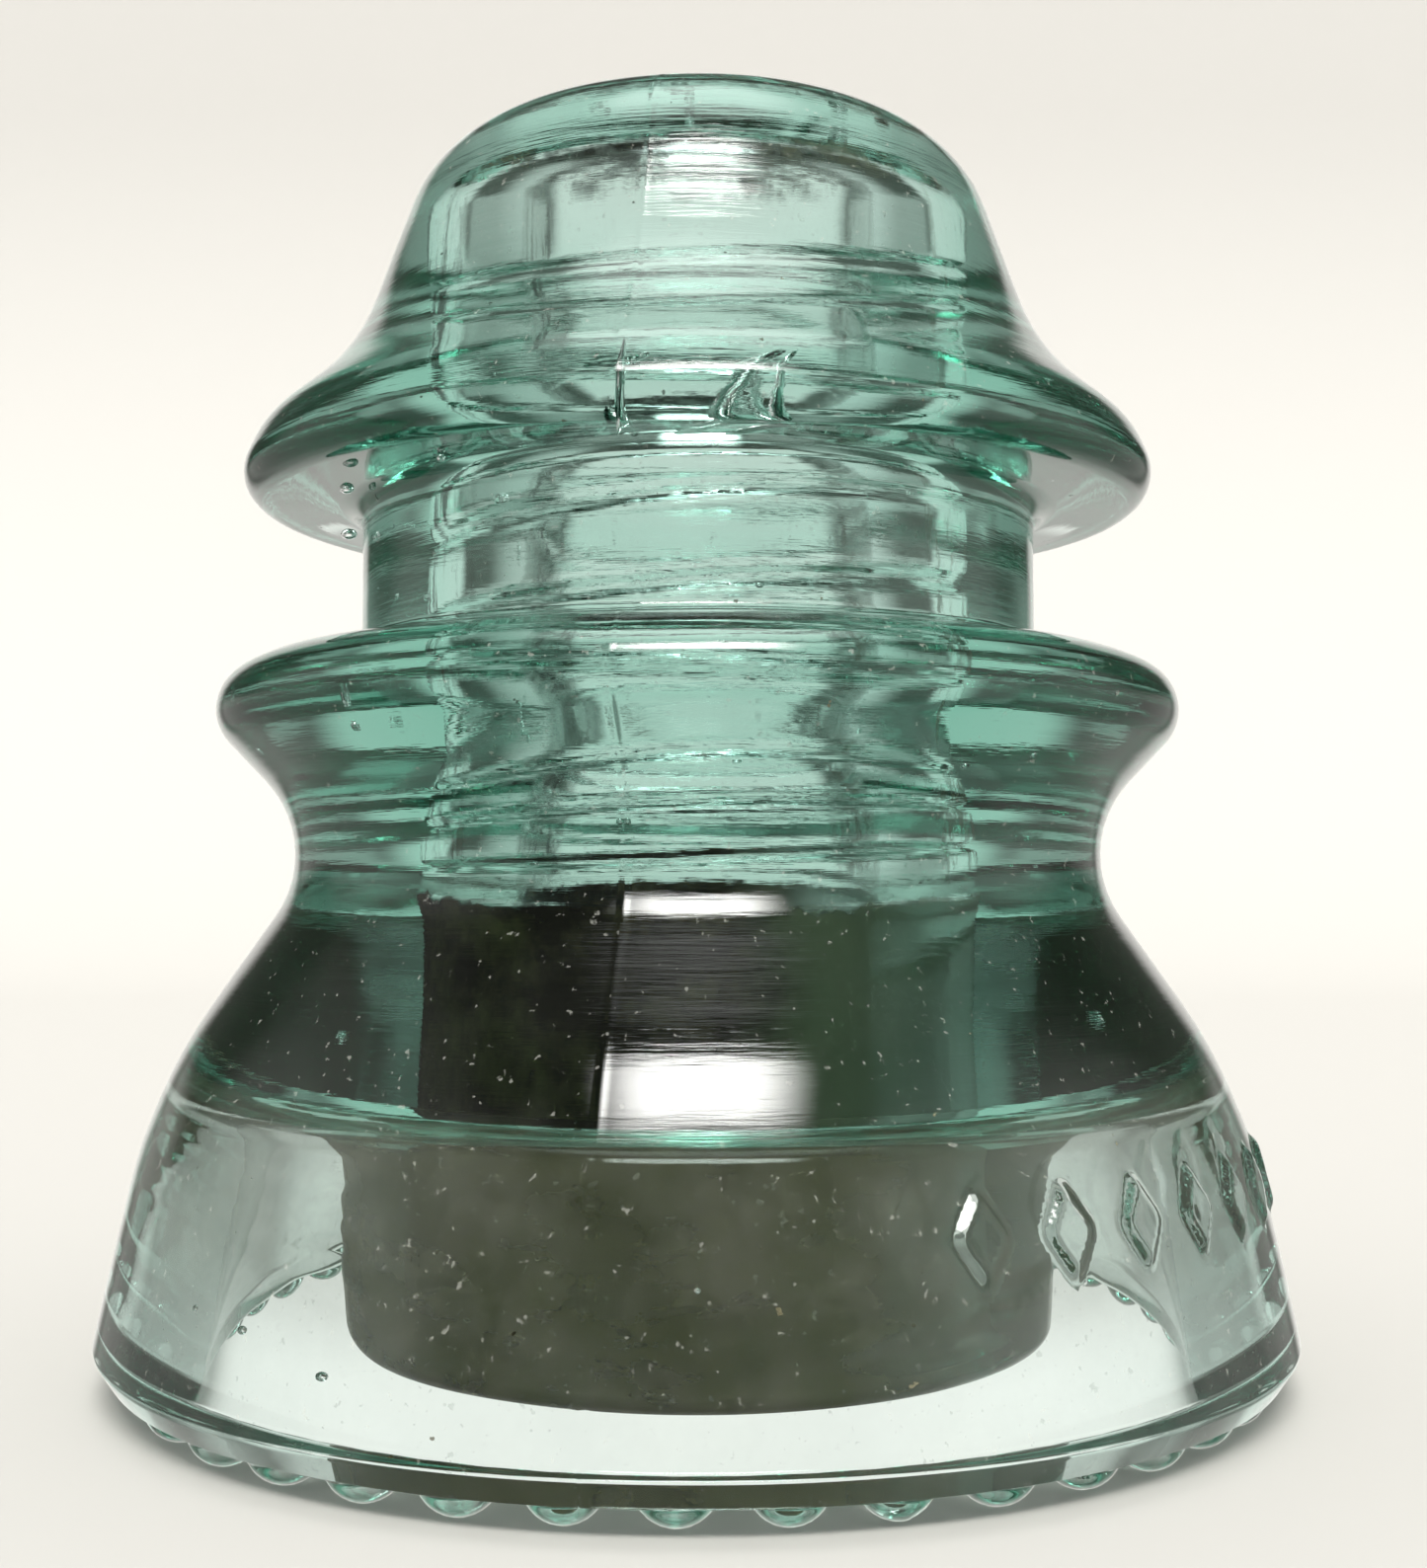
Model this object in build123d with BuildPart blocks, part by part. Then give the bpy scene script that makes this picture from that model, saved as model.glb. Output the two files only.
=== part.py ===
"""Pin insulator: one pressed-glass moulding with a wire groove, a skirt with drip
points, an inner petticoat and a threaded pinhole.

Millimetres, +Z up. The origin is on the axis, in the plane of the drip tips that the
insulator rests on. -Y is the front, and the mould seam plane is close to it.
"""

import os
from math import atan, cos, degrees, radians, sin, tan

from build123d import *

# ---- Driving dimensions -------------------------------------------------------------

skirt_diameter = 85.96  # to the sharp skirt edge; its rounding takes off 0.2
total_height = 93.8

# Crown: a shallow cap that runs tangentially into the shoulder.
cap_radius = 43.6
cap_half_angle = 19.0

# Outer corners before rounding, from the shoulder down: (radius, height, rounding).
shoulder = (20.4, 89.25, 9.2)
crown_foot = (26.0, 73.4, 17.8)
flange_top = (32.6, 67.9, 6.1)
flange_tip = (34.7, 62.9, 2.1)
column_top = (25.1, 62.9, 1.8)
column_foot = (25.1, 52.4, 0.9)
ridge_top = (32.2, 51.35, 8.5)
ridge_tip = (37.4, 48.5, 3.3)
neck = (27.5, 38.05, 7.8)
cone_foot = (37.3, 23.8, 31.0)
band_top = (40.2, 16.75, 29.0)

# Rim under the skirt: a rounded edge, a bevel, then a flat ring with the drip points.
edge_height = 3.5
edge_rounding = 0.8
rim_height = 1.85
rim_outer = (41.9, rim_height, 0.1)
rim_inner = (35.75, rim_height, 0.75)

# Rain groove between the skirt and the petticoat; it narrows upwards, so the plunger
# that pressed it could draw out.
groove_top_outer = (33.2, 19.9, 2.5)
groove_top_inner = (27.3, 19.9, 2.5)

# Petticoat around the pinhole mouth.
petticoat_height = 2.1
petticoat_radius = 25.9
petticoat_rounding = 1.5

# Pinhole for a 1 inch pin: a plain lead-in, then a tapered hole with a thread of narrow
# ridges between wide flats.
lead_in_radius = 14.0
lead_in_top = 30.4
ledge_height = 0.6
ledge_rounding = 0.1
taper = 1 / 48
thread_root_radius = 13.8
thread_pitch = 25.4 / 4
thread_depth = 1.0
thread_ridge_width = 2.6
thread_start = 32.0
thread_turns = 7.2
pinhole_top = 85.6
pinhole_top_rounding = 4.0

# Drip points: round beads on a pitch circle, hanging from the rim ring.
drip_count = 40
drip_circle_radius = 39.3
drip_half_width = 2.45
drip_first_angle = -91.3

# Raised lozenges on the skirt band.
mark_count = 7
mark_first_angle = -66.5
mark_pitch_angle = 8.6
mark_centre_height = 15.2
mark_height = 5.0
mark_width = 3.4
mark_rounding = 0.5
mark_proud = 0.4
mark_root = 0.8
mark_draft = 20.0

# ---- Derived sizes ------------------------------------------------------------------

skirt_radius = skirt_diameter / 2
skirt_edge = (skirt_radius, edge_height, edge_rounding)
cap_end = (
    cap_radius * sin(radians(cap_half_angle)),
    total_height - cap_radius * (1 - cos(radians(cap_half_angle))),
)

pinhole_start_height = lead_in_top + ledge_height
pinhole_end_radius = thread_root_radius - taper * (pinhole_top - pinhole_start_height)

petticoat_outer = (petticoat_radius, petticoat_height, petticoat_rounding)
petticoat_inner = (lead_in_radius, petticoat_height, petticoat_rounding)
lead_in_end = (lead_in_radius, lead_in_top, ledge_rounding)
pinhole_start = (thread_root_radius, pinhole_start_height, ledge_rounding)
pinhole_end = (pinhole_end_radius, pinhole_top, pinhole_top_rounding)

band_slope = (skirt_radius - band_top[0]) / (band_top[1] - edge_height)

# Every rounded corner of the half section, from the shoulder round to the pinhole.
section_corners = [
    shoulder,
    crown_foot,
    flange_top,
    flange_tip,
    column_top,
    column_foot,
    ridge_top,
    ridge_tip,
    neck,
    cone_foot,
    band_top,
    skirt_edge,
    rim_outer,
    rim_inner,
    groove_top_outer,
    groove_top_inner,
    petticoat_outer,
    petticoat_inner,
    lead_in_end,
    pinhole_start,
    pinhole_end,
]


mark_radius = skirt_radius - band_slope * (mark_centre_height - edge_height)


def band_plane(index, lift):
    """Plane of a lozenge, lifted off the band surface along its normal."""
    angle = radians(mark_first_angle + index * mark_pitch_angle)
    outward = (cos(angle), sin(angle), band_slope)
    centre = (mark_radius * cos(angle), mark_radius * sin(angle), mark_centre_height)
    return Plane(centre, x_dir=(-sin(angle), cos(angle), 0), z_dir=outward).offset(lift)


def cap_sphere_radius(half_width, height):
    """Radius of the sphere whose cap has this half width and height."""
    return (half_width**2 + height**2) / (2 * height)


# ---- Thread ridge: a round section swept along a tapered helix ----------------------

ridge_section_radius = cap_sphere_radius(thread_ridge_width / 2, thread_depth)
root_radius_at_start = thread_root_radius - taper * (thread_start - pinhole_start_height)
helix_radius = root_radius_at_start - thread_depth + ridge_section_radius

with BuildPart() as thread_ridge:
    with BuildLine() as thread_path:
        Helix(
            pitch=thread_pitch,
            height=thread_turns * thread_pitch,
            radius=helix_radius,
            center=(0, 0, thread_start),
            cone_angle=-degrees(atan(taper)),
        )
    with BuildSketch(thread_path.line ^ 0):
        Circle(ridge_section_radius)
    sweep(path=thread_path.line, is_frenet=True)

# ---- Glass body ---------------------------------------------------------------------

with BuildPart() as glass_body:
    # The whole moulding is one half section turned about the axis.
    with BuildSketch(Plane.XZ):
        with BuildLine():
            RadiusArc((0, total_height), cap_end, cap_radius)
            FilletPolyline(
                cap_end,
                *[(radius, height) for radius, height, _ in section_corners],
                (0, pinhole_top),
                radius=[rounding for _, _, rounding in section_corners],
            )
            Line((0, pinhole_top), (0, total_height))
        make_face()
    revolve(axis=Axis.Z)

    # Drip points.
    drip_radius = cap_sphere_radius(drip_half_width, rim_height)
    with Locations((0, 0, drip_radius)):
        with PolarLocations(drip_circle_radius, drip_count, start_angle=drip_first_angle):
            Sphere(drip_radius)

    # Raised lozenges: each is lofted from a wide root inside the glass to its face.
    for index in range(mark_count):
        for lift in (-mark_root, mark_proud):
            with BuildSketch(band_plane(index, lift)) as lozenge:
                spread = -2 * lift * tan(radians(mark_draft))
                half_width = (mark_width + spread) / 2
                half_height = (mark_height + spread) / 2
                Polygon(
                    (0, -half_height),
                    (half_width, 0),
                    (0, half_height),
                    (-half_width, 0),
                )
                fillet(lozenge.vertices(), mark_rounding)
        loft()

    # Pinhole thread.
    add(thread_ridge.part)

glass_body.part.label = "glass_body"

# ---- Export -------------------------------------------------------------------------

os.makedirs("parts", exist_ok=True)
export_step(glass_body.part, "parts/glass_body.step")
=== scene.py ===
"""Looks for a pressed-glass pin insulator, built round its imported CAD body.

Sizes are in millimetres until a mesh is written, because the outline is the CAD outline.
"""

import math
from random import Random

import bmesh
import bpy
import numpy as np
from mathutils import Matrix, Vector, noise


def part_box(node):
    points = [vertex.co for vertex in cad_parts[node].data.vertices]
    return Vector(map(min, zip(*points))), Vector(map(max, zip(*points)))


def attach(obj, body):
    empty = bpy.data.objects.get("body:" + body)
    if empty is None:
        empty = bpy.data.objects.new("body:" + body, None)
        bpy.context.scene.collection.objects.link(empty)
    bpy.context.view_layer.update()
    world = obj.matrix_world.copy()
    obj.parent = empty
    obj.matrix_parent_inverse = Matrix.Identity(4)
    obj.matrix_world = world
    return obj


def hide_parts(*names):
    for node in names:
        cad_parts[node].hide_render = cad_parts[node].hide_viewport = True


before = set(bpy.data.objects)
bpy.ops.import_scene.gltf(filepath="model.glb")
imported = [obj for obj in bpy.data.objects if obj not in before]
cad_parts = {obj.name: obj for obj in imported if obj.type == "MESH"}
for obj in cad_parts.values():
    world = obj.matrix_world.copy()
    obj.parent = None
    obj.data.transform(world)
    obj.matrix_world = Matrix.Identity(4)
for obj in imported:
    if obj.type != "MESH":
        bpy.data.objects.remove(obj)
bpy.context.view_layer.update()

MM = 0.001
BODY = "root"
GLASS_NODE = "glass_body"

low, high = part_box(GLASS_NODE)
TOP = high.z / MM
SKIRT_RADIUS = (high.x - low.x) / 2 / MM

# ---- Outline of the moulding, as rounded corners: (radius, height, rounding) ---------

CAP_RADIUS = 43.6
CAP_HALF_ANGLE = math.radians(19.0)
RIM_HEIGHT = 1.85
LEAD_IN_TOP = 30.4
LEAD_IN_RADIUS = 14.0
PINHOLE_RADIUS = 13.8
PINHOLE_TAPER = 1 / 48
PINHOLE_TOP = 85.6
GROOVE_TOP = 19.9
PETTICOAT_FOOT = 2.1
THREAD_DEPTH = 0.7
THREAD_HALF_WIDTH = 0.6
THREAD_PITCH = 25.4 / 4
THREAD_START = 32.0
THREAD_END = 77.7

OUTER_CORNERS = [
    (20.4, TOP - 4.55, 9.2),
    (26.0, 73.4, 17.8),
    (32.6, 67.9, 6.1),
    (34.7, 62.9, 2.1),
    (25.1, 62.9, 1.8),
    (25.1, 52.4, 0.9),
    (32.2, 51.35, 8.5),
    (37.4, 48.5, 3.3),
    (27.5, 38.05, 7.8),
    (37.3, 23.8, 31.0),
    (40.2, 16.75, 29.0),
    (SKIRT_RADIUS + 0.09, 3.5, 0.8),
    (41.9, RIM_HEIGHT, 0.1),
]


def pinhole_radius(height):
    """Radius of the slightly tapered pinhole at the roots of its thread."""
    return PINHOLE_RADIUS - PINHOLE_TAPER * (height - LEAD_IN_TOP)


INNER_CORNERS = [
    (35.75, RIM_HEIGHT, 0.75),
    (33.2, GROOVE_TOP, 2.5),
    (27.3, GROOVE_TOP, 2.5),
    (25.9, PETTICOAT_FOOT, 1.5),
    (LEAD_IN_RADIUS, PETTICOAT_FOOT, 1.5),
    (LEAD_IN_RADIUS, LEAD_IN_TOP, 0.1),
    (pinhole_radius(LEAD_IN_TOP), LEAD_IN_TOP + 0.6, 0.1),
    (pinhole_radius(PINHOLE_TOP), PINHOLE_TOP, 4.0),
]


def rounded_path(points, step, arc_step):
    """Points (radius, height) along a polyline whose inner corners are rounded."""
    path = [np.array(points[0][:2], float)]

    def straight_to(end):
        start = path[-1]
        count = max(1, round(float(np.linalg.norm(end - start)) / step))
        path.extend(start + (end - start) * i / count for i in range(1, count + 1))

    for before, corner, after in zip(points, points[1:], points[2:]):
        here = np.array(corner[:2], float)
        towards_start = np.array(before[:2], float) - here
        towards_end = np.array(after[:2], float) - here
        towards_start /= np.linalg.norm(towards_start)
        towards_end /= np.linalg.norm(towards_end)
        half = math.acos(float(towards_start @ towards_end)) / 2
        tangent = corner[2] / math.tan(half)
        bisector = (towards_start + towards_end) / (2 * math.cos(half))
        centre = here + bisector * corner[2] / math.sin(half)
        straight_to(here + towards_start * tangent)
        first = path[-1] - centre
        turn = math.pi - 2 * half
        if first[0] * towards_start[1] - first[1] * towards_start[0] > 0:
            turn = -turn
        count = max(3, round(abs(turn) / arc_step), round(abs(turn) * corner[2] / step))
        for i in range(1, count + 1):
            c, s = math.cos(turn * i / count), math.sin(turn * i / count)
            swung = np.array([first[0] * c - first[1] * s, first[0] * s + first[1] * c])
            path.append(centre + swung)
    straight_to(np.array(points[-1][:2], float))
    return np.array(path)


def path_normals(path):
    """Unit normals of a path on the side that faces the air."""
    tangent = np.gradient(path, axis=0)
    normal = np.stack([-tangent[:, 1], tangent[:, 0]], axis=1)
    return normal / np.linalg.norm(normal, axis=1)[:, None]


# ---- Surface detail, as lifts along the surface normal -------------------------------

DRIP_COUNT = 40
DRIP_CIRCLE = 39.25
DRIP_FIRST = math.radians(-91.3)
DRIP_HALF_WIDTH = 2.42
CELL_SIDE = 8
CELL_RADII = (36.6, 41.82)
DRIP_RINGS = (0.15, 0.3, 0.45, 0.6, 0.72, 0.82, 0.9, 0.96, 1.0, 1.035)
CHIPPED_DRIP = 2
SEAM_ANGLE = math.radians(-98.0)
SEAM_WIDTH = 0.22
SEAM_PROUD = 0.03
MARK_COUNT = 7
MARK_FIRST = math.radians(-66.5)
MARK_PITCH = math.radians(8.6)
MARK_HEIGHT = 15.2
MARK_HALF_WIDTH = 1.7
MARK_HALF_HEIGHT = 2.5
MARK_PROUD = 0.4
SKIRT_TOP = 30.0
SKIRT_TOP_RADIUS = 28.0
EDGE_TOP = 5.2
MIN_ROW_GAP = 0.12

# Cracks behind the flange's front, and bubbles under the crown, as flattened hollows:
# centre (angle, radius, height), half sizes (across, in depth, up), lean in degrees.
FLAWS = [
    ((SEAM_ANGLE, 31.2, 65.0), (0.22, 1.3, 2.6), 4),
    ((SEAM_ANGLE + 0.02, 29.5, 66.3), (0.9, 0.9, 0.25), -20),
    ((SEAM_ANGLE - 0.02, 29.6, 64.6), (0.7, 0.8, 0.2), 25),
    ((math.radians(-86.3), 28.0, 65.4), (3.8, 1.6, 0.3), -24),
    ((math.radians(-82.0), 27.6, 65.2), (2.4, 1.0, 0.2), -38),
    ((math.radians(-88.0), 8.0, 88.6), (0.9, 0.7, 0.35), 10),
    ((math.radians(-80.0), 9.0, 88.2), (0.6, 0.5, 0.3), -15),
    ((math.radians(-95.0), 9.5, 88.0), (0.5, 0.5, 0.3), 20),
]


def turn_between(a, b):
    """Signed turn from angle b to angle a, within half a turn."""
    return (a - b + math.pi) % (2 * math.pi) - math.pi


def smooth(low_edge, high_edge, value):
    """0 below low_edge, 1 above high_edge, smooth between."""
    t = min(1.0, max(0.0, (value - low_edge) / (high_edge - low_edge)))
    return t * t * (3 - 2 * t)


def bell(distance, width):
    """1 at no distance, falling smoothly over a width."""
    return math.exp(-((distance / width) ** 2))


def waviness(x, y, z):
    """Slow unevenness of pressed glass, and finer rings left by the mould."""
    slow = noise.noise(Vector((x, y, z)) * 0.11 + Vector((3.1, 7.7, 1.3)))
    rings = noise.noise(Vector((x * 0.035, y * 0.035, z * 0.55)) + Vector((9.0, 2.0, 5.0)))
    return 0.045 * slow + 0.022 * rings


def outer_lift(angle, radius, height):
    """Waviness, mould seams and lozenges of the outer surface."""
    lift = waviness(radius * math.cos(angle), radius * math.sin(angle), height)
    for seam in (SEAM_ANGLE, SEAM_ANGLE + math.pi):
        lift += SEAM_PROUD * bell(turn_between(angle, seam) * radius, SEAM_WIDTH)
    if radius > SKIRT_TOP_RADIUS and height < SKIRT_TOP:
        lift += MARK_PROUD * lozenge(angle, radius, height)
    return lift


def lozenge(angle, radius, height):
    """How far into a raised lozenge a point of the band is, from 0 to 1."""
    index = round(turn_between(angle, MARK_FIRST) / MARK_PITCH)
    if not 0 <= index < MARK_COUNT:
        return 0.0
    across = turn_between(angle, MARK_FIRST + index * MARK_PITCH) * radius
    inside = math.hypot(across / MARK_HALF_WIDTH, 0.12) + math.hypot(
        (height - MARK_HEIGHT) / MARK_HALF_HEIGHT, 0.12
    )
    return 1 - smooth(0.88, 1.3, inside)


def inner_lift(angle, radius, height):
    """Waviness of the surfaces that the plunger formed, and the pinhole thread."""
    lift = 0.6 * waviness(radius * math.cos(angle), radius * math.sin(angle), height + 40)
    if radius < LEAD_IN_RADIUS + 0.1 and THREAD_START - 2 < height < THREAD_END + 2:
        turn = height / THREAD_PITCH - angle / (2 * math.pi)
        from_crest = (turn - round(turn)) * THREAD_PITCH
        fade = smooth(THREAD_START - 1, THREAD_START + 2, height)
        fade *= 1 - smooth(THREAD_END - 2, THREAD_END + 1, height)
        lift += THREAD_DEPTH * fade * bell(from_crest, THREAD_HALF_WIDTH)
    return lift


# ---- Mesh building -------------------------------------------------------------------


def even_angles(count):
    """Evenly spaced angles round the axis."""
    return [2 * math.pi * i / count for i in range(count)]


def finer_angles(angles, spans):
    """The angles, with some spans replaced by finer ones: (start, end, step)."""
    full = 2 * math.pi
    for start, end, step in spans:
        width = end - start
        angles = [a for a in angles if not -0.5 * step < (a - start) % full < width + 0.5 * step]
        count = round(width / step)
        angles += [(start + width * i / count) % full for i in range(count + 1)]
    return sorted(angles)


def turned_grid(bm, path, angles, lift):
    """Turns a path about the axis, each point lifted along its normal."""
    rows = []
    for (radius, height), (out, up) in zip(path, path_normals(path)):
        row = []
        for angle in angles:
            rise = lift(angle, radius, height)
            r, h = (radius + out * rise) * MM, (height + up * rise) * MM
            row.append(bm.verts.new((r * math.cos(angle), r * math.sin(angle), h)))
        rows.append(row)
    for upper, lower in zip(rows, rows[1:]):
        for i in range(len(angles)):
            j = (i + 1) % len(angles)
            bm.faces.new((upper[i], lower[i], lower[j], upper[j]))
    return rows[0], rows[-1]


def close_pole(bm, row, height, facing_up):
    """Closes a row onto one point of the axis."""
    tip = bm.verts.new((0, 0, height * MM))
    for i, vertex in enumerate(row):
        after = row[(i + 1) % len(row)]
        bm.faces.new((tip, vertex, after) if facing_up else (tip, after, vertex))


def turn_of(vertex):
    """A vertex's angle about the axis, from 0 to a full turn."""
    return math.atan2(vertex.co.y, vertex.co.x) % (2 * math.pi)


def stitch(bm, first, second):
    """Joins two rings about the axis with triangles, whatever their numbers of vertices."""
    rings = [sorted(ring, key=turn_of) for ring in (first, second)]
    turns = [[turn_of(v) for v in ring] + [turn_of(ring[0]) + 2 * math.pi] for ring in rings]
    here = [0, 0]
    while here[0] < len(rings[0]) or here[1] < len(rings[1]):
        ends = [t[i + 1] if i < len(ring) else math.inf for t, i, ring in zip(turns, here, rings)]
        side = 0 if ends[0] <= ends[1] else 1
        ring, other = rings[side], rings[1 - side]
        corner = ring[here[side]]
        after = ring[(here[side] + 1) % len(ring)]
        bm.faces.new((corner, after, other[here[1 - side] % len(other)]))
        here[side] += 1


def drip_drop(distance, half_width, depth):
    """How far a drip hangs below the rim at a distance from its centre, with a soft foot."""
    sphere = (half_width**2 + depth**2) / (2 * depth)
    flat = sphere - depth
    cap = math.sqrt(max(sphere**2 - distance**2, 0.0)) - flat
    return (cap + math.hypot(cap, 0.12)) / 2


def drip_point(index, across, size):
    """A rim point in mm; across is its offset from the drip's centre, (outward, sideways)."""
    angle = DRIP_FIRST + 2 * math.pi * index / DRIP_COUNT
    out, side = across
    half_width, depth = size
    drop = drip_drop(math.hypot(out, side), half_width, depth)
    x = (DRIP_CIRCLE + out) * math.cos(angle) - side * math.sin(angle)
    y = (DRIP_CIRCLE + out) * math.sin(angle) + side * math.cos(angle)
    if index == CHIPPED_DRIP:
        ragged_edge = 0.3 * noise.noise(Vector((out, side, 2.0)))
        broken = smooth(0.2, 0.9, side / half_width + ragged_edge)
        rough = 0.8 + 0.4 * noise.noise(Vector((out * 2, side * 2, 5.0)))
        drop *= 1 - 0.75 * broken * rough
    return x, y, RIM_HEIGHT - drop


def rim_with_drips(bm, rng):
    """The flat rim ring, one cell per drip; neighbouring cells share their side vertices."""
    shared = {}
    columns = DRIP_COUNT * CELL_SIDE
    inner, outer = CELL_RADII

    def edge_vertex(index, step_out, step_round):
        key = step_out, (index * CELL_SIDE + step_round) % columns
        if key not in shared:
            radius = inner + (outer - inner) * step_out / CELL_SIDE
            angle = DRIP_FIRST + 2 * math.pi * (key[1] - CELL_SIDE / 2) / columns
            x, y = radius * math.cos(angle), radius * math.sin(angle)
            shared[key] = bm.verts.new((x * MM, y * MM, RIM_HEIGHT * MM))
        return shared[key]

    n = CELL_SIDE
    border = [(n, k) for k in range(n)] + [(n - k, n) for k in range(n)]
    border += [(0, n - k) for k in range(n)] + [(k, 0) for k in range(n)]
    for index in range(DRIP_COUNT):
        size = DRIP_HALF_WIDTH * rng.uniform(0.96, 1.0), RIM_HEIGHT * rng.uniform(0.9, 1.0)
        centre = bm.verts.new([c * MM for c in drip_point(index, (0, 0), size)])
        turns = [math.atan2(v - n / 2, u - n / 2) for u, v in border]
        previous = None
        for share in DRIP_RINGS:
            reach = share * size[0]
            offsets = [(reach * math.cos(turn), reach * math.sin(turn)) for turn in turns]
            places = [drip_point(index, offset, size) for offset in offsets]
            ring = [bm.verts.new([c * MM for c in place]) for place in places]
            join_rings(bm, centre, previous, ring)
            previous = ring
        join_rings(bm, centre, previous, [edge_vertex(index, u, v) for u, v in border])
    outer_row = [shared[(n, k)] for k in range(columns)]
    inner_row = [shared[(0, k)] for k in range(columns)]
    return outer_row, inner_row


def join_rings(bm, centre, previous, ring):
    """Faces between two rings of a drip, or between its tip and its first ring."""
    for i, vertex in enumerate(ring):
        j = (i + 1) % len(ring)
        if previous is None:
            bm.faces.new((centre, vertex, ring[j]))
        else:
            bm.faces.new((previous[i], vertex, ring[j], previous[j]))


BUBBLE_ZONES = [  # count, radius range, height range, size range
    (14, (2, 14), (83.5, 88.5), (0.12, 0.35)),
    (12, (16, 28), (60, 66), (0.12, 0.4)),
    (10, (16, 22), (52, 58), (0.1, 0.3)),
    (14, (17, 30), (43, 49), (0.12, 0.45)),
    (10, (17, 26), (33, 42), (0.12, 0.4)),
    (12, (35.5, 39.5), (6, 16), (0.1, 0.35)),
    (8, (17, 23), (8, 26), (0.1, 0.35)),
]


def turn_inside_out(bm, vertices):
    """Makes the faces of a closed blob look inwards, so the blob is a hollow in the glass."""
    faces = {face for vertex in vertices for face in vertex.link_faces}
    bmesh.ops.reverse_faces(bm, faces=list(faces))


def add_bubbles(bm, rng):
    """Seed bubbles, a little stretched."""
    for count, radii, heights, sizes in BUBBLE_ZONES:
        for _ in range(count):
            radius, angle = rng.uniform(*radii), rng.uniform(0, 2 * math.pi)
            height, size = rng.uniform(*heights), rng.uniform(*sizes)
            made = bmesh.ops.create_icosphere(bm, subdivisions=2, radius=size * MM)["verts"]
            stretch = rng.uniform(1.0, 1.6)
            centre = Vector((radius * math.cos(angle), radius * math.sin(angle), height)) * MM
            for vertex in made:
                vertex.co.x *= stretch
                vertex.co += centre
            turn_inside_out(bm, made)


def add_flaw(bm, centre, half_sizes, lean, seed):
    """A thin crack inside the glass: a flattened, uneven hollow. Centre is (angle, radius, height)."""
    angle, radius, height = centre
    made = bmesh.ops.create_icosphere(bm, subdivisions=3, radius=1.0)["verts"]
    turn = Matrix.Rotation(angle + math.pi / 2, 3, "Z") @ Matrix.Rotation(lean, 3, "Y")
    middle = Vector((radius * math.cos(angle), radius * math.sin(angle), height))
    for vertex in made:
        uneven = 1 + 0.35 * noise.noise(vertex.co * 1.7 + Vector((seed, 0, 0)))
        local = Vector([c * h * uneven for c, h in zip(vertex.co, half_sizes)])
        vertex.co = (middle + turn @ local) * MM
    turn_inside_out(bm, made)


OUTER_COLUMNS = 240
INNER_COLUMNS = 216
ROW_STEP = 1.6
THREAD_ROW_STEP = 0.3
ARC_STEP = math.radians(7.0)
POLE_RADIUS = 0.4
BUBBLE_SEED = 42


def with_rows(path, heights):
    """The path with extra rows at given heights on its skirt, where height only falls."""
    start = int(np.argmax((path[:, 1] < SKIRT_TOP) & (path[:, 0] > SKIRT_TOP_RADIUS)))
    end = int(np.argmin(np.abs(path[:, 1] - EDGE_TOP)))
    skirt = path[start:end]
    merged = sorted(set(np.round(np.concatenate([skirt[:, 1], heights]), 3)), reverse=True)
    kept = [merged[0]]
    for height in merged[1:]:
        if kept[-1] - height > MIN_ROW_GAP:
            kept.append(height)
    radii = np.interp(kept, skirt[::-1, 1], skirt[::-1, 0])
    return np.vstack([path[:start], np.stack([radii, kept], axis=1), path[end:]])


def outer_path():
    """Rows of the outer surface, from the crown down to the rim."""
    count = round(CAP_RADIUS * CAP_HALF_ANGLE / ROW_STEP)
    turns = np.linspace(POLE_RADIUS / CAP_RADIUS, CAP_HALF_ANGLE, count)
    cap = np.stack([CAP_RADIUS * np.sin(turns), TOP - CAP_RADIUS * (1 - np.cos(turns))], axis=1)
    corners = [tuple(cap[-1]), *OUTER_CORNERS, (CELL_RADII[1] + 0.03, RIM_HEIGHT)]
    path = np.vstack([cap[:-1], rounded_path(corners, ROW_STEP, ARC_STEP)])
    return with_rows(path, MARK_HEIGHT + np.linspace(-3.0, 3.0, 21))


def inner_path():
    """Rows from the rim up the groove, down the petticoat and up the pinhole."""
    corners = [(CELL_RADII[0] - 0.03, RIM_HEIGHT), *INNER_CORNERS, (POLE_RADIUS, PINHOLE_TOP)]
    path = rounded_path(corners, ROW_STEP, ARC_STEP)
    threaded = (path[:, 0] < LEAD_IN_RADIUS) & (path[:, 1] > LEAD_IN_TOP + 0.8)
    threaded &= path[:, 1] < THREAD_END + 2
    first, last = np.flatnonzero(threaded)[[0, -1]]
    count = round((path[last, 1] - path[first, 1]) / THREAD_ROW_STEP)
    fine = np.linspace(path[first], path[last], count)
    return np.vstack([path[:first], fine, path[last + 1 :]])


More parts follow.
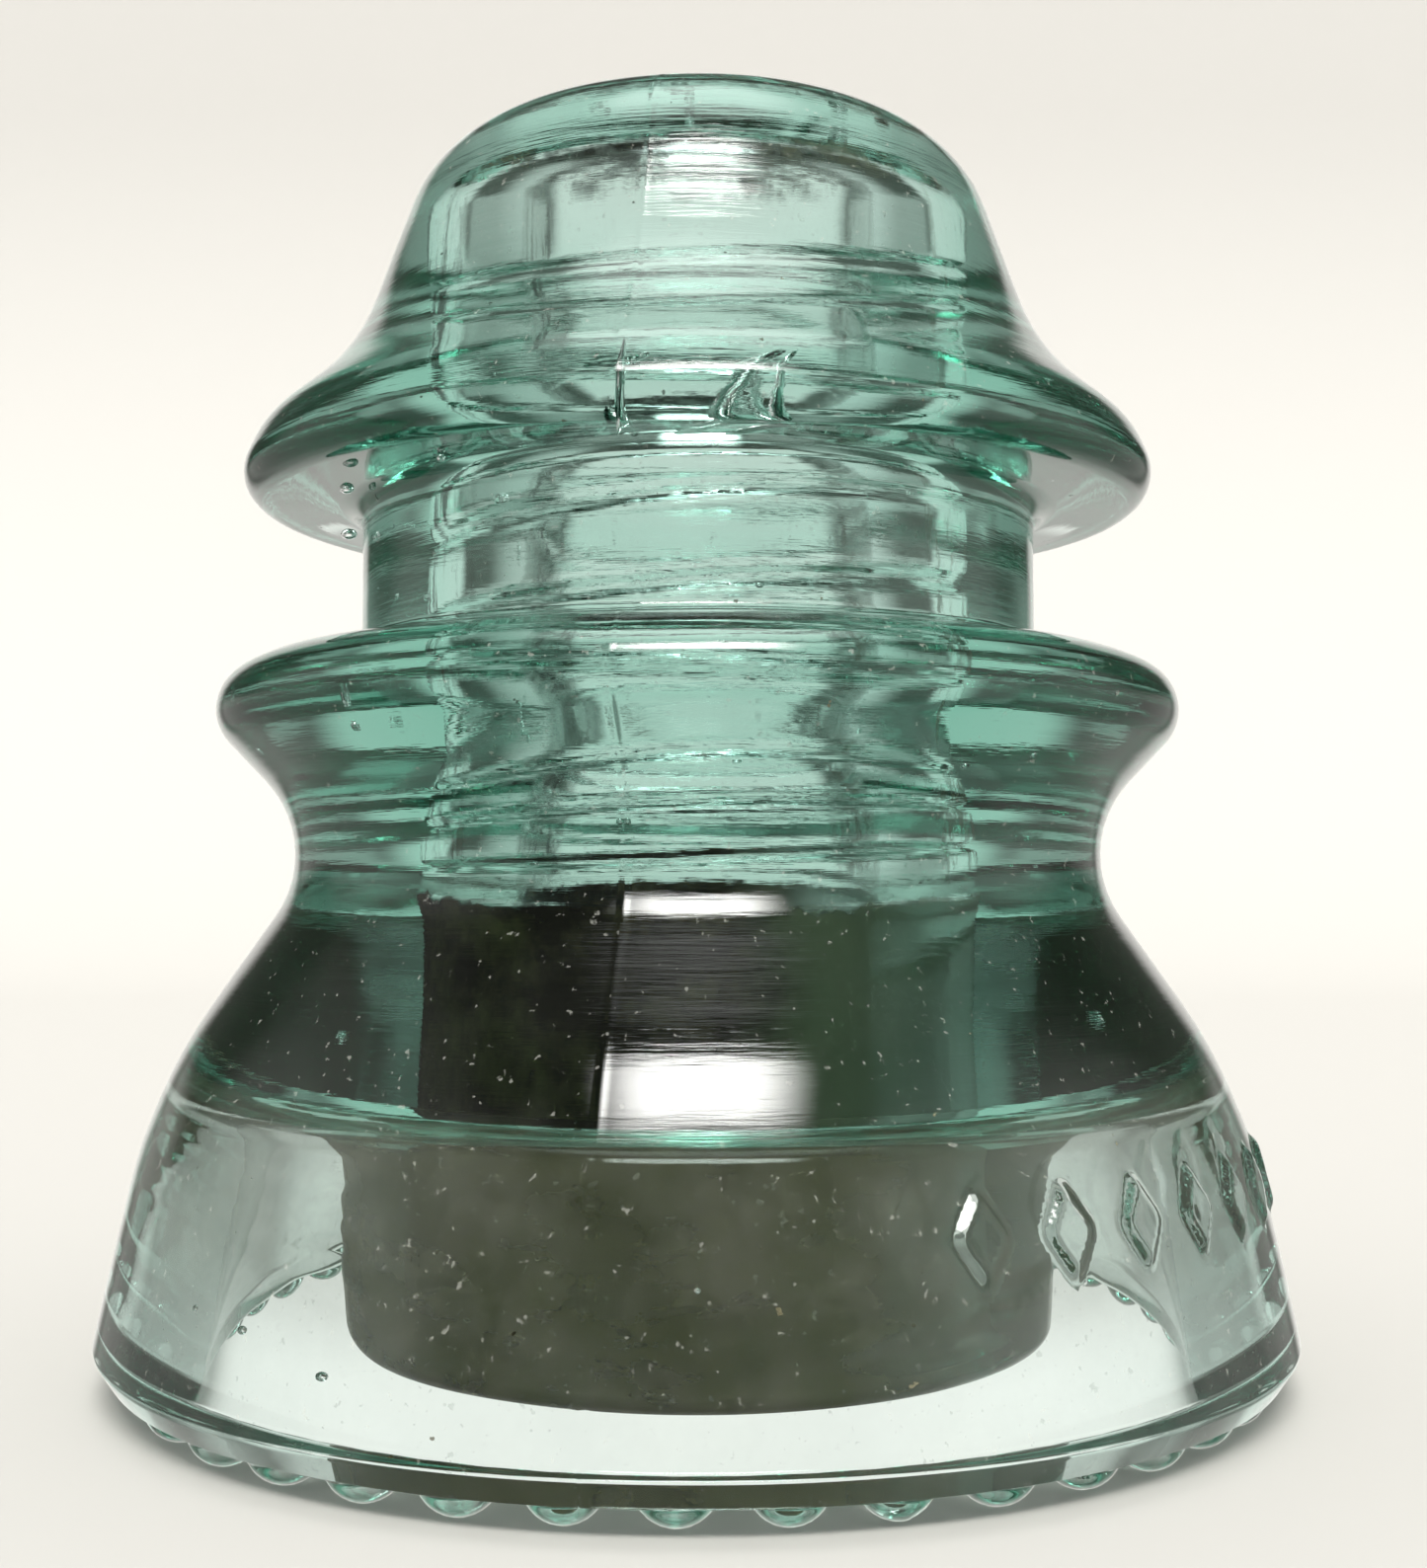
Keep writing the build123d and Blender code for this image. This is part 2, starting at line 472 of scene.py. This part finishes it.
def glass_mesh():
    """The whole moulding as one closed mesh, with its bubbles as hollows."""
    rng = Random(BUBBLE_SEED)
    bm = bmesh.new()
    mark_span = (MARK_FIRST - MARK_PITCH / 3, MARK_FIRST + (MARK_COUNT - 0.67) * MARK_PITCH)
    spans = [(*mark_span, math.radians(0.45))]
    for seam in (SEAM_ANGLE, SEAM_ANGLE + math.pi):
        spans.append((seam - math.radians(1.2), seam + math.radians(1.2), math.radians(0.3)))
    outer_angles = finer_angles(even_angles(OUTER_COLUMNS), spans)
    crown_row, outer_end = turned_grid(bm, outer_path(), outer_angles, outer_lift)
    close_pole(bm, crown_row, TOP, True)
    rim_outer, rim_inner = rim_with_drips(bm, rng)
    inner_start, pinhole_row = turned_grid(bm, inner_path(), even_angles(INNER_COLUMNS), inner_lift)
    close_pole(bm, pinhole_row, PINHOLE_TOP, False)
    stitch(bm, outer_end, rim_outer)
    stitch(bm, rim_inner, inner_start)
    bmesh.ops.recalc_face_normals(bm, faces=bm.faces)
    add_bubbles(bm, rng)
    for seed, (centre, half_sizes, lean) in enumerate(FLAWS):
        add_flaw(bm, centre, half_sizes, math.radians(lean), seed)
    for face in bm.faces:
        face.smooth = True
    mesh = bpy.data.meshes.new("glass")
    bm.to_mesh(mesh)
    bm.free()
    return mesh


# ---- Materials -----------------------------------------------------------------------


class Nodes:
    """Short calls for the nodes of one tree."""

    def __init__(self, tree):
        self.tree = tree

    def add(self, kind, inputs=(), **settings):
        """A new node; an input is given a value or is linked from a socket."""
        node = self.tree.nodes.new(kind)
        for name, value in settings.items():
            setattr(node, name, value)
        for key, value in dict(inputs).items():
            if isinstance(value, bpy.types.NodeSocket):
                self.tree.links.new(value, node.inputs[key])
            else:
                node.inputs[key].default_value = value
        return node

    def math(self, operation, *values):
        return self.add("ShaderNodeMath", enumerate(values), operation=operation).outputs[0]

    def product(self, first, *others):
        for other in others:
            first = self.math("MULTIPLY", first, other)
        return first

    def vector(self, operation, *values):
        return self.add("ShaderNodeVectorMath", enumerate(values), operation=operation).outputs[0]

    def dot(self, vector, axis):
        inputs = {0: vector, 1: axis}
        return self.add("ShaderNodeVectorMath", inputs, operation="DOT_PRODUCT").outputs["Value"]

    def coordinate(self, vector, axis):
        return self.add("ShaderNodeSeparateXYZ", {0: vector}).outputs[axis]

    def noise(self, place, scale, detail=3.0, roughness=0.6):
        inputs = {"Vector": place, "Scale": scale, "Detail": detail, "Roughness": roughness}
        return self.add("ShaderNodeTexNoise", inputs).outputs[0]

    def rising(self, value, low_edge, high_edge):
        """0 below low_edge, 1 above high_edge, smooth between."""
        inputs = {"Value": value, "From Min": low_edge, "From Max": high_edge}
        kind = "SMOOTHSTEP"
        return self.add("ShaderNodeMapRange", inputs, interpolation_type=kind).outputs["Result"]

    def falling(self, value, low_edge, high_edge):
        """1 below low_edge, 0 above high_edge, smooth between."""
        return self.math("SUBTRACT", 1.0, self.rising(value, low_edge, high_edge))

    def mix(self, share, first, second):
        """Colour that goes from the first to the second as the share goes from 0 to 1."""
        inputs = {0: share, 6: first, 7: second}
        return self.add("ShaderNodeMix", inputs, data_type="RGBA").outputs[2]

    def mix_looks(self, share, first, second):
        """The same for two surface shaders."""
        return self.add("ShaderNodeMixShader", {0: share, 1: first, 2: second}).outputs[0]

    def matt(self, colour):
        return self.add("ShaderNodeBsdfDiffuse", {"Color": colour}).outputs[0]


GLASS_IOR = 1.52
TINT = (0.165, 0.64, 0.52, 1)
TINT_DENSITY = 28.0  # per metre
RIPPLE_DEPTH = 0.00005  # metres
# The near-black residue colour is partly real grime and partly painted shade; the pale one is a
# painted lighter side, used on the right.
RESIDUE_AND_SHADE = (0.008, 0.007, 0.002, 1)
RESIDUE_THIN = (0.10, 0.078, 0.03, 1)
RESIDUE_LIT_SIDE = (0.17, 0.16, 0.105, 1)
# The film colour is painted shade: a dark coat that stands in for shade seen through the skirt.
SHADE_FILM = (0.15, 0.142, 0.078, 1)
DUST = (0.62, 0.62, 0.56, 1)


def residue_and_shade_share(nodes, place, radius, height):
    """Dark coat on the lead-in wall up to a ragged edge above the ledge: partly old creosote and
    grime, partly painted shade, and thinner towards the right.
    """
    ragged = nodes.math("MULTIPLY", nodes.math("SUBTRACT", nodes.noise(place, 0.28), 0.5), 5.0)
    top = nodes.math("ADD", ragged, LEAD_IN_TOP + 0.2)
    below = nodes.rising(nodes.math("SUBTRACT", top, height), -0.5, 0.5)
    inside = nodes.falling(radius, LEAD_IN_RADIUS + 0.4, LEAD_IN_RADIUS + 1.6)
    spots = nodes.rising(nodes.noise(place, 0.5, 5.0, 0.75), 0.24, 0.36)
    # Thinner towards the right: painted shade kept heavier on the left.
    right = nodes.rising(nodes.coordinate(place, "X"), 7.0, 13.0)
    kept = nodes.math("SUBTRACT", 1.0, nodes.math("MULTIPLY", right, 0.35))
    return nodes.product(below, inside, spots, kept)


def residue_and_shade_colour(nodes, place):
    """Near black, brown where it is thin, and paler towards the right as a painted lighter side; the
    near black is partly painted shade.
    """
    patchy = nodes.rising(nodes.noise(place, 0.14, 5.0, 0.65), 0.42, 0.72)
    brown = nodes.mix(patchy, RESIDUE_AND_SHADE, RESIDUE_THIN)
    # Paler towards the right: a painted lighter side.
    across = nodes.coordinate(place, "X")
    uneven = nodes.math("MULTIPLY_ADD", nodes.noise(place, 0.2, 4.0), 5.0, across)
    return nodes.mix(nodes.rising(uneven, 4.0, 9.5), brown, RESIDUE_LIT_SIDE)


def streak_share(nodes, place, radius, height):
    """Darker runs down both sides of the pinhole, and a stain round its top."""
    squeezed = nodes.vector("MULTIPLY", place, (1.0, 1.0, 0.15))
    runs = nodes.rising(nodes.noise(squeezed, 0.5, 5.0, 0.75), 0.47, 0.62)
    sides = nodes.rising(nodes.math("ABSOLUTE", nodes.coordinate(place, "X")), 11.6, 13.0)
    stained = nodes.rising(height, PINHOLE_TOP - 3.0, PINHOLE_TOP - 0.8)
    broken = nodes.rising(nodes.noise(place, 0.35, 4.0, 0.7), 0.45, 0.60)
    share = nodes.math("MAXIMUM", nodes.product(sides, runs), nodes.product(stained, broken))
    inside = nodes.falling(radius, LEAD_IN_RADIUS + 0.2, LEAD_IN_RADIUS + 0.8)
    high_up = nodes.rising(height, LEAD_IN_TOP, LEAD_IN_TOP + 6.0)
    return nodes.product(inside, high_up, share, 0.8)


def rust_share(nodes, place, radius):
    """Scattered rust-brown specks on the outside."""
    specks = nodes.rising(nodes.noise(place, 0.7, 3.0, 0.6), 0.735, 0.76)
    return nodes.product(specks, nodes.rising(radius, 18.0, 20.0), 0.75)


def shade_film_share(nodes, place, radius, height):
    """Painted shade: a grey-brown film on the petticoat's outer wall, with a thin veil of it across
    the groove, thinner towards the right; it stands in for shade seen through the skirt.
    """
    in_groove = nodes.falling(height, GROOVE_TOP + 0.4, GROOVE_TOP + 0.9)
    drawn = nodes.vector("MULTIPLY", place, (0.35, 0.35, 0.8))
    cloudy = nodes.rising(nodes.noise(drawn, 0.3, 6.0, 0.65), 0.25, 0.75)
    amount = nodes.math("MULTIPLY_ADD", cloudy, 0.30, 0.62)
    petticoat = nodes.product(nodes.rising(radius, 22.0, 24.5), nodes.falling(radius, 28.6, 29.6))
    # Less film towards the right: painted shade that leaves that side lighter.
    right = nodes.rising(nodes.coordinate(place, "X"), 8.0, 22.0)
    kept = nodes.math("SUBTRACT", 1.0, nodes.math("MULTIPLY", right, 0.55))
    outer_wall = nodes.product(nodes.rising(radius, 31.0, 32.0), nodes.falling(radius, 36.0, 37.0))
    veil = nodes.product(outer_wall, nodes.rising(height, 5.0, 12.0), 0.4)
    share = nodes.math("ADD", nodes.product(petticoat, kept), veil)
    return nodes.product(share, in_groove, amount)


def dust_share(nodes, place, height):
    """Thin dust over everything, heavier on the skirt band and in the groove, with specks."""
    cloudy = nodes.rising(nodes.noise(place, 0.12, 5.0, 0.7), 0.35, 0.75)
    specks = nodes.rising(nodes.noise(place, 1.6, 2.0, 0.6), 0.66, 0.74)
    low = nodes.falling(height, 19.0, 24.0)
    amount = nodes.math("MULTIPLY_ADD", low, 0.05, 0.01)
    return nodes.math("ADD", nodes.product(cloudy, amount), nodes.product(specks, 0.22))


def rippled_normal(nodes, place, height):
    """Fine level ripples above the band, which the mould left."""
    drawn = nodes.vector("MULTIPLY", place, (0.05, 0.05, 1.1))
    ripples = nodes.noise(drawn, 1.0, 4.0, 0.7)
    strength = nodes.product(nodes.rising(height, 19.0, 24.0), 0.5)
    bump = {"Strength": strength, "Distance": RIPPLE_DEPTH, "Height": ripples}
    return nodes.add("ShaderNodeBump", bump).outputs[0]


def aqua_glass():
    """Clear soda-lime glass whose aqua tint deepens with the length of the light's path.

    One material covers the closed mesh; grime, dust and painted shade are shares of its surface.
    """
    material = bpy.data.materials.new("aqua_glass")
    material.use_nodes = True
    nodes = Nodes(material.node_tree)
    place = nodes.add("ShaderNodeTexCoord").outputs["Object"]
    place = nodes.vector("MULTIPLY", place, (1 / MM, 1 / MM, 1 / MM))
    flat = nodes.vector("MULTIPLY", place, (1.0, 1.0, 0.0))
    radius = nodes.add("ShaderNodeVectorMath", {0: flat}, operation="LENGTH").outputs["Value"]
    height = nodes.coordinate(place, "Z")
    surface = material.node_tree.nodes["Principled BSDF"]
    surface.inputs["Base Color"].default_value = (1, 1, 1, 1)
    surface.inputs["Roughness"].default_value = 0.0
    surface.inputs["IOR"].default_value = GLASS_IOR
    surface.inputs["Transmission Weight"].default_value = 1.0
    normal = rippled_normal(nodes, place, height)
    material.node_tree.links.new(normal, surface.inputs["Normal"])
    # Residue, streaks and rust specks; the residue is partly painted shade.
    dirt_and_shade = nodes.math(
        "MAXIMUM",
        residue_and_shade_share(nodes, place, radius, height),
        streak_share(nodes, place, radius, height),
    )
    dirt_and_shade = nodes.math("MAXIMUM", dirt_and_shade, rust_share(nodes, place, radius))
    looks = surface.outputs[0]
    # Dust, the film, which is painted shade, and the residue with its painted shade, layered over the
    # glass.
    for share, colour in (
        (dust_share(nodes, place, height), DUST),
        (shade_film_share(nodes, place, radius, height), SHADE_FILM),
        (dirt_and_shade, residue_and_shade_colour(nodes, place)),
    ):
        looks = nodes.mix_looks(share, looks, nodes.matt(colour))
    tint = nodes.add("ShaderNodeVolumeAbsorption", {"Color": TINT, "Density": TINT_DENSITY})
    output = material.node_tree.nodes["Material Output"]
    material.node_tree.links.new(looks, output.inputs["Surface"])
    material.node_tree.links.new(tint.outputs["Volume"], output.inputs["Volume"])
    return material


# ---- Object --------------------------------------------------------------------------

glass = bpy.data.objects.new("pressed_glass_body", glass_mesh())
bpy.context.scene.collection.objects.link(glass)
glass.data.materials.append(aqua_glass())
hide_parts(GLASS_NODE)
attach(glass, BODY)


# ---- Studio --------------------------------------------------------------------------

CAMERA_HEIGHT = 34.6
CAMERA_DISTANCE = 148.2
CAMERA_SIDE = 1.14
CAMERA_PITCH = math.radians(3.16)
LENS = 45.15
BACKDROP = (0.52, 0.505, 0.48, 1)
PAPER = (1.0, 0.98, 0.93, 1)
ROOM = (0.13, 0.135, 0.12, 1)
FLANK = (0.09, 0.10, 0.085, 1)
FLANK_LOW = (0.48, 0.48, 0.45, 1)
SOFT_LIGHT = (0.98, 0.98, 0.98, 1)
BACKGROUND = (0.96, 0.935, 0.885, 1)


def backdrop():
    """A pale floor that curves up behind the object into a wall; it is clear from below."""
    front, bend, back, wall, half_width = -1.2, 0.5, 1.0, 1.6, 1.6
    steps = 24
    section = [(front, 0.0)]
    for i in range(steps + 1):
        turn = math.pi / 2 * i / steps
        reach = back - bend
        section.append((bend + reach * math.sin(turn), reach * (1 - math.cos(turn))))
    section.append((back, wall))
    bm = bmesh.new()
    rows = [[bm.verts.new((x, y, z)) for x in (-half_width, half_width)] for y, z in section]
    for a, b in zip(rows, rows[1:]):
        bm.faces.new((a[0], a[1], b[1], b[0])).smooth = True
    mesh = bpy.data.meshes.new("backdrop")
    bm.to_mesh(mesh)
    bm.free()
    sweep = bpy.data.objects.new("backdrop", mesh)
    bpy.context.scene.collection.objects.link(sweep)
    material = bpy.data.materials.new("backdrop")
    material.use_nodes = True
    nodes = Nodes(material.node_tree)
    surface = material.node_tree.nodes["Principled BSDF"]
    surface.inputs["Base Color"].default_value = BACKDROP
    surface.inputs["Roughness"].default_value = 1.0
    surface.inputs["Specular IOR Level"].default_value = 0.0
    behind = nodes.add("ShaderNodeNewGeometry").outputs["Backfacing"]
    clear = nodes.add("ShaderNodeBsdfTransparent").outputs[0]
    looks = nodes.mix_looks(behind, surface.outputs[0], clear)
    output = material.node_tree.nodes["Material Output"]
    material.node_tree.links.new(looks, output.inputs["Surface"])
    mesh.materials.append(material)
    sweep.visible_transmission = False
    sweep.visible_glossy = False


def compass(azimuth, elevation):
    """Camera-frame direction: azimuth 0 is ahead and 90 is to the right, in degrees."""
    a, e = math.radians(azimuth), math.radians(elevation)
    return math.sin(a) * math.cos(e), math.sin(e), math.cos(a) * math.cos(e)


def round_patch(nodes, direction, azimuth, elevation, inner, outer):
    """Share of a soft round patch; its edge fades from inner to outer degrees."""
    lean = nodes.dot(direction, compass(azimuth, elevation))
    return nodes.rising(lean, math.cos(math.radians(outer)), math.cos(math.radians(inner)))


def window_patch(nodes, direction, azimuth, elevation, half_sizes, blurs):
    """Share of a rectangular window; half sizes and blurs are for one unit of distance."""
    facing = Vector(compass(azimuth, elevation))
    up = Vector(compass(azimuth, elevation + 90))
    right = up.cross(facing)
    depth = nodes.dot(direction, facing)
    share = nodes.rising(depth, 0.0, 0.1)
    for axis, half_size, blur in zip((right, up), half_sizes, blurs):
        offset = nodes.math("ABSOLUTE", nodes.math("DIVIDE", nodes.dot(direction, axis), depth))
        share = nodes.product(share, nodes.falling(offset, half_size - blur, half_size + blur))
    return share


def studio_world():
    """Pale paper beyond the object, a dim room behind the camera, and soft windows.

    It is laid out in the camera's frame (x right, y up, z ahead), so every view has the
    same light.
    """
    world = bpy.data.worlds.new("studio")
    bpy.context.scene.world = world
    world.use_nodes = True
    nodes = Nodes(world.node_tree)
    direction = nodes.add("ShaderNodeTexCoord").outputs["Camera"]
    direction = nodes.vector("NORMALIZE", direction)
    side = nodes.math("ABSOLUTE", nodes.dot(direction, (1, 0, 0)))
    flank = nodes.rising(side, 0.48, 0.60)
    ahead = nodes.rising(nodes.dot(direction, (0, 0, 1)), -0.1, 0.1)
    beside = nodes.mix(nodes.rising(nodes.dot(direction, (0, 1, 0)), 0.02, 0.12), FLANK_LOW, FLANK)
    colour = nodes.mix(nodes.math("MULTIPLY", ahead, flank), ROOM, beside)
    patches = [
        (window_patch(nodes, direction, 0, 0, (0.56, 0.58), (0.10, 0.10)), PAPER),
        (round_patch(nodes, direction, 105, 5, 10, 50), (0.90, 0.89, 0.85, 1)),
        (round_patch(nodes, direction, -95, 12, 8, 44), (0.70, 0.70, 0.66, 1)),
        (round_patch(nodes, direction, 0, 90, 8, 26), (3.0, 3.1, 3.0, 1)),
        (round_patch(nodes, direction, 0, -42, 20, 44), (1.05, 1.03, 0.98, 1)),
        (round_patch(nodes, direction, 0, -90, 8, 26), (0.10, 0.11, 0.09, 1)),
        (window_patch(nodes, direction, 179, 54.0, (0.24, 0.13), (0.14, 0.06)), (30, 30, 29, 1)),
    ]
    for share, light in patches:
        colour = nodes.mix(share, colour, light)
    path = nodes.add("ShaderNodeLightPath")
    colour = nodes.mix(path.outputs["Is Diffuse Ray"], colour, SOFT_LIGHT)
    colour = nodes.mix(path.outputs["Is Camera Ray"], colour, BACKGROUND)
    background = world.node_tree.nodes["Background"]
    world.node_tree.links.new(colour, background.inputs["Color"])


def camera():
    """The photograph's viewpoint: close, and looking slightly up."""
    data = bpy.data.cameras.new("camera")
    data.lens = LENS
    data.clip_start = 0.01
    eye = bpy.data.objects.new("camera", data)
    bpy.context.scene.collection.objects.link(eye)
    eye.location = (CAMERA_SIDE * MM, -CAMERA_DISTANCE * MM, CAMERA_HEIGHT * MM)
    eye.rotation_euler = (math.pi / 2 + CAMERA_PITCH, 0, 0)
    bpy.context.scene.camera = eye


backdrop()
studio_world()
camera()
cycles = bpy.context.scene.cycles
cycles.max_bounces = 24
cycles.transmission_bounces = 24
cycles.glossy_bounces = 12
bpy.context.scene.view_settings.view_transform = "Standard"
